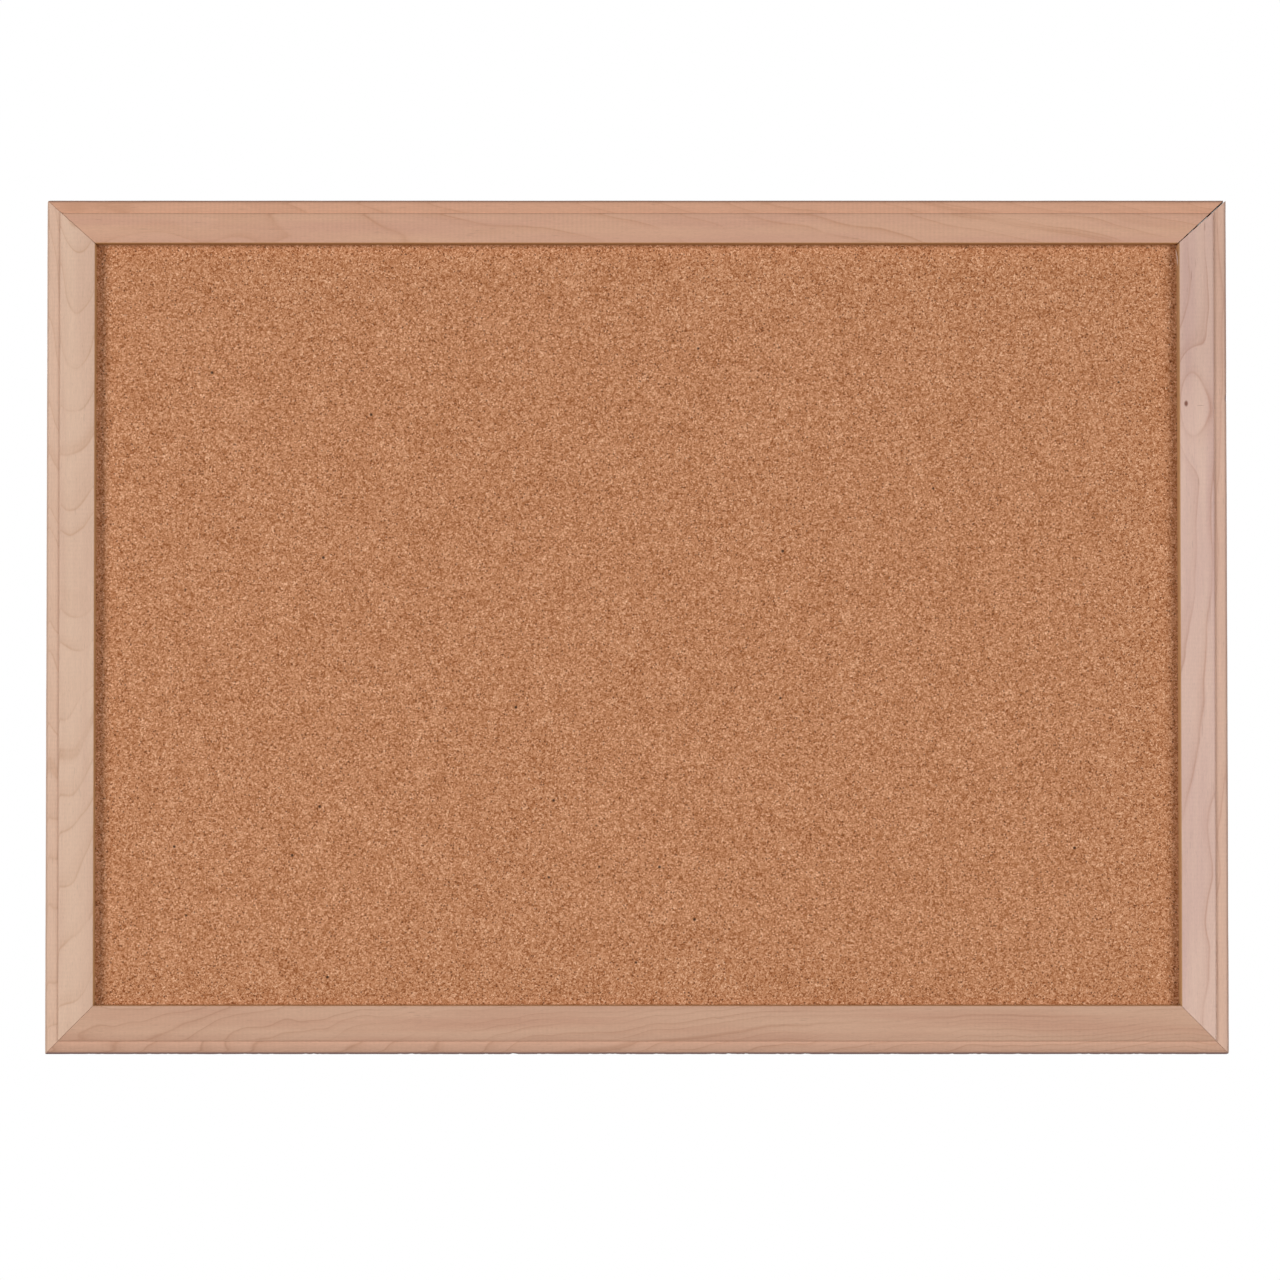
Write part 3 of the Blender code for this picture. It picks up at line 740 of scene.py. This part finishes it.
# The torn spots on the bottom rail's outer edge, and the nick in the right stile's. A band
# is how far in from the edge a dent reaches.
TORN_SPOTS = 140
TORN_DEPTHS = (0.00004, 0.00020)
TORN_HALF_LENGTHS = (0.0008, 0.0014)
TORN_BAND = 0.0012
NICK_ALONG = -0.116
NICK_DEPTH = 0.0002
NICK_HALF_LENGTH = 0.0022
NICK_BAND = 0.0016


def dent_edge(grid, along, half_length, depth, band):
    """Presses a dent into the outer edge: the corner moves in, less so further from it."""
    near = np.clip(1 - np.abs(grid[..., 2] - along) / half_length, 0, 1)
    edge = np.clip(1 - grid[..., 0] / band, 0, 1)
    grid[..., 0] += depth * np.sqrt(near) * edge


def rough_outer_edge(name, grid, length, rng):
    """Uneven planing all along, torn spots under the bottom rail and a nick on the right."""
    front = np.clip(1 - grid[..., 1] / (STEP_DROP + OUTER_ROUND), 0, 1)
    grid[..., 1] += np.abs(wander(grid[..., 2], rng, 0.00006, 0.09)) * front
    edge = np.clip(1 - grid[..., 0] / OUTER_BAND, 0, 1)
    grid[..., 0] += np.abs(wander(grid[..., 2], rng, 0.00008, 0.23)) * edge
    if name == "bottom_rail":
        for _ in range(TORN_SPOTS):
            along = rng.uniform(-0.48, 0.48) * length
            depth = rng.uniform(*TORN_DEPTHS)
            dent_edge(grid, along, rng.uniform(*TORN_HALF_LENGTHS), depth, TORN_BAND)
    if name == "right_stile":
        dent_edge(grid, NICK_ALONG, NICK_HALF_LENGTH, NICK_DEPTH, NICK_BAND)


# The room round a V-nail in its slot, and how far its cutter reaches past the rails' backs
SLOT_PLAY = 0.00015
SLOT_REACH = 4 * FIT_GAP


def slot_cutter():
    """One mesh of all the V-nails, a little thicker and standing out behind the rails."""
    whole = bmesh.new()
    for name in frame["nodes"]:
        if not name.startswith("v_nail"):
            continue
        nail = welded_copy(name)
        for vertex in nail.verts:
            vertex.co += vertex.normal * SLOT_PLAY
            if vertex.co.y > BACK_Y - SLOT_REACH:
                vertex.co.y = BACK_Y + SLOT_REACH
        part = mesh_from(nail, name)
        whole.from_mesh(part)
        bpy.data.meshes.remove(part)
    return new_piece("slot_cutter", mesh_from(whole, "slot_cutter"))


def make_rail(name, cutter):
    angle, length, width, (edge_x, edge_z) = SIDES[name]
    rng = random.Random(f"{SEED} {name}")
    grid = rail_grid(name, length, width)
    rough_outer_edge(name, grid, length, rng)
    round_corners(grid, length, CORNER_ROUND[name])
    rings, points = grid.shape[:2]
    faces = [tuple(range(points)), tuple(reversed(range((rings - 1) * points, rings * points)))]
    for ring in range(rings - 1):
        base = ring * points
        for i in range(points):
            j = (i + 1) % points
            faces.append((base + i, base + points + i, base + points + j, base + j))
    mesh = bpy.data.meshes.new(name)
    mesh.from_pydata(grid.reshape(-1, 3).tolist(), [], faces)
    piece = new_piece(f"{name}_moulding", mesh)
    piece.location = (edge_x, FRONT_Y, edge_z)
    piece.rotation_euler = Euler((0, angle, 0))
    cut(piece, cutter)
    shade(piece)
    return piece


# ---------------------------------------------------------------- the panel

# The grids that carry the relief, and the cork's granules: how far their corners are moved,
# as a share of the grid, how uneven they lie, and how many are pits and how deep. The cork's
# level is kept between its proudest and its deepest, measured backwards.
CORK_GRID = 0.00165
BACKING_GRID = 0.006
GRANULE_JITTER = 0.45
GRANULE_LEVEL = 0.00004
PIT_SHARE = 0.06
PIT_DEPTHS = (0.00005, 0.00022)
CORK_PROUDEST = -0.0001
CORK_DEEPEST = 0.0003
BACKING_EASE = 0.0002


def make_slab(name, low, high, spacing, relief, face):
    """A closed slab whose front (face -1) or back (face 1) is a fine grid with relief. The
    relief gives each grid point's shifts along X, Y and Z."""
    columns = round((high.x - low.x) / spacing)
    rows = round((high.z - low.z) / spacing)
    column_x = np.linspace(low.x, high.x, columns + 1)
    row_z = np.linspace(low.z, high.z, rows + 1)
    across, up = np.meshgrid(column_x, row_z)
    shift = relief(across.shape)
    fine_y = low.y if face < 0 else high.y
    flat_y = high.y if face < 0 else low.y
    fine = np.stack([across + shift[0], fine_y + shift[1], up + shift[2]], axis=-1).reshape(-1, 3)
    width = columns + 1
    rim = [
        *range(width),
        *(row * width + columns for row in range(1, rows + 1)),
        *(rows * width + column for column in range(columns - 1, -1, -1)),
        *(row * width for row in range(rows - 1, 0, -1)),
    ]
    flat = fine[rim] * (1, 0, 1) + (0, flat_y, 0)
    vertices = np.concatenate([fine, flat])
    faces = []
    for row in range(rows):
        for column in range(columns):
            corner = row * width + column
            faces.append((corner, corner + 1, corner + width + 1, corner + width))
    first = len(fine)
    count = len(rim)
    for i in range(count):
        j = (i + 1) % count
        faces.append((rim[j], rim[i], first + i, first + j))
    faces.append(tuple(first + i for i in reversed(range(count))))
    mesh = bpy.data.meshes.new(name)
    mesh.from_pydata(vertices.tolist(), [], faces)
    if face > 0:
        mesh.flip_normals()
    return new_piece(name, mesh)


def hold_rim(shift):
    """No sideways shift along the rim, so that the slab's edges stay straight."""
    for part in (shift[0], shift[2]):
        part[[0, -1], :] = 0.0
        part[:, [0, -1]] = 0.0
    return shift


def cork_relief(shape):
    """Sanded granules: nearly level, with a pit wherever one has broken out."""
    rng = np.random.default_rng(SEED)
    jitter = rng.uniform(-GRANULE_JITTER, GRANULE_JITTER, (2, *shape)) * CORK_GRID
    level = rng.normal(0.0, GRANULE_LEVEL, shape)
    pits = np.where(rng.random(shape) < PIT_SHARE, rng.uniform(*PIT_DEPTHS, shape), 0.0)
    return hold_rim([jitter[0], np.clip(level + pits, CORK_PROUDEST, CORK_DEEPEST), jitter[1]])


def backing_relief(shape):
    """A thin sheet's slight waves between the points that hold it."""
    rng = random.Random(SEED)
    rows = np.linspace(0, BACKING_HIGH.z - BACKING_LOW.z, shape[0])
    columns = np.linspace(0, BACKING_HIGH.x - BACKING_LOW.x, shape[1])
    waves = np.add.outer(wander(rows, rng, 0.00010, 0.31), wander(columns, rng, 0.00010, 0.43))
    level = np.zeros(shape)
    return [level, -np.abs(waves), level]


# ---------------------------------------------------------------- the fasteners

# How far the edges of each kind of sheet steel piece are eased, and the bend up to which two
# of its faces count as one
SHEET_EASES = {"v_nail": 0.00006, "panel_point": 0.00012, "hanger_strap": 0.00012}
FLAT_ENOUGH = math.radians(5)


def eased_copy(node, width):
    """A copy of a CAD node with its sharp edges eased."""
    shape = welded_copy(node)
    bmesh.ops.dissolve_limit(shape, angle_limit=FLAT_ENOUGH, verts=shape.verts, edges=shape.edges)
    piece = new_piece(f"{node}_steel", mesh_from(shape, node))
    bevel(piece, width)
    shade(piece, 40)
    return piece


# The ring's wire, and its middle line: the bow's radius, how far above the bar its centre
# is, and the radius of the two lower corners
RING_WIRE_RADIUS = 0.001
RING_HALF_WIDTH = 0.0072
RING_SHOULDER = 0.004
RING_CORNER = 0.002


def ring_path():
    side = RING_HALF_WIDTH
    turn = RING_CORNER
    return [
        *arc((-side + turn, turn), turn, 3 * QUARTER, 2 * QUARTER, 8),
        *arc((0, RING_SHOULDER), side, 2 * QUARTER, 0, 48),
        *arc((side - turn, turn), turn, 0, -QUARTER, 8),
    ]


def make_ring(side, hinge):
    """A bent wire D, with its bar on the hinge and its bow leaning on the stile's back."""
    curve = bpy.data.curves.new(f"ring_{side}", "CURVE")
    curve.dimensions = "3D"
    curve.bevel_depth = RING_WIRE_RADIUS
    curve.bevel_resolution = 5
    path = ring_path()
    spline = curve.splines.new("POLY")
    spline.points.add(len(path) - 1)
    for point, (x, z) in zip(spline.points, path):
        point.co = (x, 0.0, z, 1.0)
    spline.use_cyclic_u = True
    piece = new_piece(f"hanger_ring_{side}_wire", curve)
    bpy.context.view_layer.update()
    mesh = bpy.data.meshes.new_from_object(piece.evaluated_get(bpy.context.evaluated_depsgraph_get()))
    bpy.data.objects.remove(piece)
    piece = new_piece(f"hanger_ring_{side}_wire", mesh)
    fall = hinge.y - RING_WIRE_RADIUS - FIT_GAP - BACK_Y
    piece.location = hinge
    piece.rotation_euler = Euler((math.asin(fall / (RING_SHOULDER + RING_HALF_WIDTH)), 0, 0))
    shade(piece)
    return piece


# The pan-head screw. A tip value is the share of the recess's width or reach at its bottom.
SCREW_HEAD_RADIUS = 0.0032
SCREW_HEAD_HEIGHT = 0.0019
SCREW_SHANK_RADIUS = 0.0016
SCREW_RIM = 0.00018
SCREW_TIP = 0.003
CROWN_STEPS = 12
CROWN_END = 0.94 * QUARTER
CROWN_FULLNESS = 0.8
THREAD_PITCH = 0.0011
THREAD_HEIGHT = 0.00028
THREAD_SLOPE = 0.35
RECESS_REACH = 0.0017
RECESS_HALF_WIDTH = 0.00034
RECESS_DEPTH = 0.0012
RECESS_TIP_REACH = 0.45
RECESS_TIP_WIDTH = 0.6
SCREW_TURNS = {"left": 0.35, "right": -0.6}


def screw_profile(length):
    """The head's crown and rim, and a shank with grooves between the thread's ridges."""
    crown = [
        (SCREW_HEAD_RADIUS * math.sin(a), SCREW_HEAD_HEIGHT * math.cos(a) ** CROWN_FULLNESS)
        for a in np.linspace(0, CROWN_END, CROWN_STEPS)
    ]
    profile = [*crown, (SCREW_HEAD_RADIUS, SCREW_RIM), (SCREW_HEAD_RADIUS - SCREW_RIM, 0.0)]
    profile.append((SCREW_SHANK_RADIUS, 0.0))
    ridges = int((length - SCREW_TIP) / THREAD_PITCH)
    for ridge in range(1, ridges + 1):
        depth = -ridge * THREAD_PITCH
        groove = depth + THREAD_SLOPE * THREAD_PITCH
        profile.append((SCREW_SHANK_RADIUS - THREAD_HEIGHT, groove))
        profile.append((SCREW_SHANK_RADIUS, depth))
    profile.append((0.0, -length))
    return profile


def recess_cutter(turn):
    """One bar of the screw head's cross, tapered downwards."""
    shape = bmesh.new()
    bmesh.ops.create_cube(shape, size=2.0)
    for vertex in shape.verts:
        low = vertex.co.z < 0
        along = RECESS_REACH * (RECESS_TIP_REACH if low else 1.0) * vertex.co.x
        across = RECESS_HALF_WIDTH * (RECESS_TIP_WIDTH if low else 1.0) * vertex.co.y
        height = SCREW_HEAD_HEIGHT + (-RECESS_DEPTH if low else FIT_GAP)
        vertex.co = (along, across, height)
    cutter = new_piece("recess_cutter", mesh_from(shape, "recess_cutter"))
    cutter.rotation_euler = Euler((0, 0, turn))
    return cutter


def make_screw(side):
    low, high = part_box(f"hanger_screw_{side}")
    seat_y = high.y - SCREW_HEAD_HEIGHT
    piece = new_piece(f"hanger_screw_{side}_steel", turned("screw", screw_profile(seat_y - low.y)))
    for turn in (0, QUARTER):
        cutter = recess_cutter(turn)
        cut(piece, cutter)
        bpy.data.objects.remove(cutter)
    middle = (low + high) / 2
    piece.location = (middle.x, seat_y, middle.z)
    piece.rotation_euler = Euler((-QUARTER, SCREW_TURNS[side], 0))
    shade(piece)
    return piece


# The bumper's rim and the dish in its top. The foot's points are each so far in from its
# widest, and so far up from the stile's back.
BUMPER_ROUND = 0.0014
BUMPER_SLOPE = 0.0003
BUMPER_FOOT = ((0.0001, 0.0008), (0.0, 0.0004), (0.0, 0.0))
DISH_DEPTH = 0.0003
DISH_SHARES = (0, 0.2, 0.4, 0.6, 0.7)


def make_bumper(corner):
    """A moulded rubber foot: a flat foot, a rounded rim and a shallow dished top."""
    low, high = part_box(f"bumper_{corner}")
    radius = (high.x - low.x) / 2
    height = high.y - low.y
    dish = [
        (radius * share, height - DISH_DEPTH * (1 - (share / DISH_SHARES[-1]) ** 2))
        for share in DISH_SHARES
    ]
    turn = BUMPER_ROUND
    rim = arc((radius - turn - BUMPER_SLOPE, height - turn), turn, QUARTER, 0, 8)
    foot = [(radius - inset, up) for inset, up in BUMPER_FOOT]
    profile = [*dish, *rim, *foot, (0.0, 0.0)]
    piece = new_piece(f"bumper_{corner}_rubber", turned("bumper", profile))
    middle = (low + high) / 2
    piece.location = (middle.x, low.y, middle.z)
    piece.rotation_euler = Euler((-QUARTER, 0, 0))
    shade(piece)
    return piece


# The splinter, and its place from the front of the opening's top right corner
SPLINTER_LENGTH = 0.0085
SPLINTER_STEPS = 9
SPLINTER_SIDES = 6
SPLINTER_HALF_WIDTH = 0.00034
SPLINTER_FLATNESS = 1.6
SPLINTER_LIFT = 0.0010
SPLINTER_PLACE = (-0.0002, 0.0009, -0.003)


def make_splinter():
    """A sliver of wood that has lifted from the right stile's lip, under its top mitre."""
    shape = bmesh.new()
    rings = []
    for i in range(SPLINTER_STEPS + 1):
        share = i / SPLINTER_STEPS
        fat = math.sin(math.pi * (0.06 + 0.9 * share)) * SPLINTER_HALF_WIDTH
        lift = SPLINTER_LIFT * (1 - share) ** 2
        centre = Vector((-lift, 0.0, -SPLINTER_LENGTH * share))
        ring = []
        for a in np.linspace(0, 2 * math.pi, SPLINTER_SIDES, endpoint=False):
            out = Vector((fat * math.cos(a), SPLINTER_FLATNESS * fat * math.sin(a), 0))
            ring.append(shape.verts.new(centre + out))
        rings.append(ring)
    for one, other in zip(rings, rings[1:]):
        for i in range(SPLINTER_SIDES):
            j = (i + 1) % SPLINTER_SIDES
            shape.faces.new((one[i], one[j], other[j], other[i]))
    shape.faces.new(rings[0][::-1])
    shape.faces.new(rings[-1])
    bmesh.ops.recalc_face_normals(shape, faces=shape.faces)
    piece = new_piece("right_lip_splinter", mesh_from(shape, "splinter"))
    inner_corner = Vector((cad_high.x - RAIL_WIDTH, FRONT_Y, cad_high.z - TOP_RAIL_WIDTH))
    piece.location = inner_corner + Vector(SPLINTER_PLACE)
    shade(piece)
    return piece


# ---------------------------------------------------------------- putting it together


SLOT_OF = {part["node"]: part["material_slot"] for part in frame["record"]["subparts"]}
BODY_OF = {
    node: body
    for body, nodes in frame["record"]["behaviour"]["bodies"].items()
    for node in nodes
}


def settle(piece, node, materials, stands_for=True):
    """Gives a piece its node's material, slot and body, and hides the node it stands for."""
    piece.data.materials.clear()
    piece.data.materials.append(materials[SLOT_OF[node]])
    if stands_for:
        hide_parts(node)
    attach(piece, BODY_OF[node])


def make_object(materials):
    cutter = slot_cutter()
    for name in SIDES:
        settle(make_rail(name, cutter), name, materials)
    bpy.data.objects.remove(cutter)
    settle(make_splinter(), "right_stile", materials, stands_for=False)

    cork = make_slab("cork_surface", CORK_LOW, CORK_HIGH, CORK_GRID, cork_relief, -1)
    shade(cork, 60)
    settle(cork, "cork_sheet", materials)
    backing = make_slab("hardboard_sheet", BACKING_LOW, BACKING_HIGH, BACKING_GRID, backing_relief, 1)
    bevel(backing, BACKING_EASE, degrees=60)
    shade(backing)
    settle(backing, "backing_board", materials)
    core = frame["nodes"]["softboard_core"]
    core.data.materials.clear()
    core.data.materials.append(materials["softboard"])

    for node in frame["nodes"]:
        for kind, ease in SHEET_EASES.items():
            if node.startswith(kind):
                settle(eased_copy(node, ease), node, materials)
        if node.startswith("bumper"):
            settle(make_bumper(node.removeprefix("bumper_")), node, materials)
    for side in ("left", "right"):
        hinge = next(j for j in frame["joints"] if j["name"] == f"{side}_ring_swing")["pos_m"]
        settle(make_ring(side, Vector(hinge)), f"hanger_ring_{side}", materials)
        settle(make_screw(side), f"hanger_screw_{side}", materials)


# ---------------------------------------------------------------- camera, light and floor

# The camera's distance from the board's front, the width of the view there and its centre,
# and how far the camera stands to the left of and below that centre
CAMERA_DISTANCE = 1.4
SENSOR_MM = 36.0
VIEW_WIDTH = 0.6482
VIEW_CENTRE = (0.0015, -0.0071)
CAMERA_LEFT = 0.0415
CAMERA_LOW = 0.040
CAMERA_TILT = math.radians(0.9)

# The lights' distance from what they aim at, and the share of even light from all round
LIGHT_DISTANCE = 3.5
AMBIENT = 0.03

FLOOR_DROP = 1.30
FLOOR_SIZE = 2.4


def make_camera():
    """Square on to the board, from a little to the left of and below its middle."""
    data = bpy.data.cameras.new("camera")
    data.sensor_width = SENSOR_MM
    data.lens = SENSOR_MM * CAMERA_DISTANCE / VIEW_WIDTH
    data.shift_x = CAMERA_LEFT / VIEW_WIDTH
    data.shift_y = CAMERA_LOW / VIEW_WIDTH
    camera = bpy.data.objects.new("camera", data)
    bpy.context.scene.collection.objects.link(camera)
    drop = CAMERA_LOW + CAMERA_DISTANCE * math.tan(CAMERA_TILT)
    camera.location = (VIEW_CENTRE[0] - CAMERA_LEFT, FRONT_Y - CAMERA_DISTANCE, VIEW_CENTRE[1] - drop)
    camera.rotation_euler = Euler((QUARTER + CAMERA_TILT, 0, 0))
    bpy.context.scene.camera = camera


def make_light(name, aim, azimuth, elevation, width, height, share):
    """A soft light that gives its share of the light that falls on a plane facing it
    from the front or the back. Azimuth 0 stands in front of the board, and 90 to its right."""
    around = math.radians(azimuth)
    above = math.radians(elevation)
    way = Vector((
        math.sin(around) * math.cos(above), -math.cos(around) * math.cos(above), math.sin(above)))
    data = bpy.data.lights.new(name, "AREA")
    data.shape = "RECTANGLE"
    data.size = width
    data.size_y = height
    data.energy = share * (math.pi * LIGHT_DISTANCE) ** 2 / abs(way.y)
    lamp = bpy.data.objects.new(name, data)
    bpy.context.scene.collection.objects.link(lamp)
    lamp.location = Vector(aim) + way * LIGHT_DISTANCE
    lamp.rotation_euler = way.to_track_quat("Z", "Y").to_euler()
    lamp.visible_camera = False


def make_lights():
    """A soft light from each side, aimed at that side's lip, and two behind the board."""
    left = (cad_low.x + RAIL_WIDTH, CORK_LOW.y, 0.0)
    right = (cad_high.x - RAIL_WIDTH, CORK_LOW.y, 0.0)
    middle = (0.0, 0.0, 0.0)
    make_light("key_light", left, -48.5, 5, width=1.4, height=2.0, share=0.52)
    make_light("fill_light", right, 41.5, 5, width=2.2, height=2.0, share=0.53)
    make_light("back_light_left", middle, -140, 25, width=1.8, height=1.8, share=0.40)
    make_light("back_light_right", middle, 150, 20, width=1.8, height=1.8, share=0.35)


def make_world():
    """White where the camera looks past the board, and a dim even light on the board."""
    world = bpy.data.worlds.new("studio")
    world.use_nodes = True
    bpy.context.scene.world = world
    tree = world.node_tree
    white = tree.nodes["Background"]
    white.inputs["Color"].default_value = (1, 1, 1, 1)
    soft = tree.nodes.new("ShaderNodeBackground")
    soft.inputs["Strength"].default_value = AMBIENT
    ray = tree.nodes.new("ShaderNodeLightPath")
    choose = tree.nodes.new("ShaderNodeMixShader")
    tree.links.new(ray.outputs["Is Camera Ray"], choose.inputs[0])
    tree.links.new(soft.outputs[0], choose.inputs[1])
    tree.links.new(white.outputs[0], choose.inputs[2])
    tree.links.new(choose.outputs[0], tree.nodes["World Output"].inputs["Surface"])
    bpy.context.scene.view_settings.view_transform = "Standard"


def make_floor():
    shape = bmesh.new()
    bmesh.ops.create_grid(shape, x_segments=1, y_segments=1, size=FLOOR_SIZE / 2)
    floor = new_piece("studio_floor", mesh_from(shape, "studio_floor"))
    floor.location = (0, 0, cad_low.z - FLOOR_DROP)
    pale = Shader("studio_floor", base_color=srgb(238, 238, 236), roughness=0.8)
    floor.data.materials.append(pale.material)


make_camera()
make_lights()
make_world()
make_floor()
make_object(make_materials())
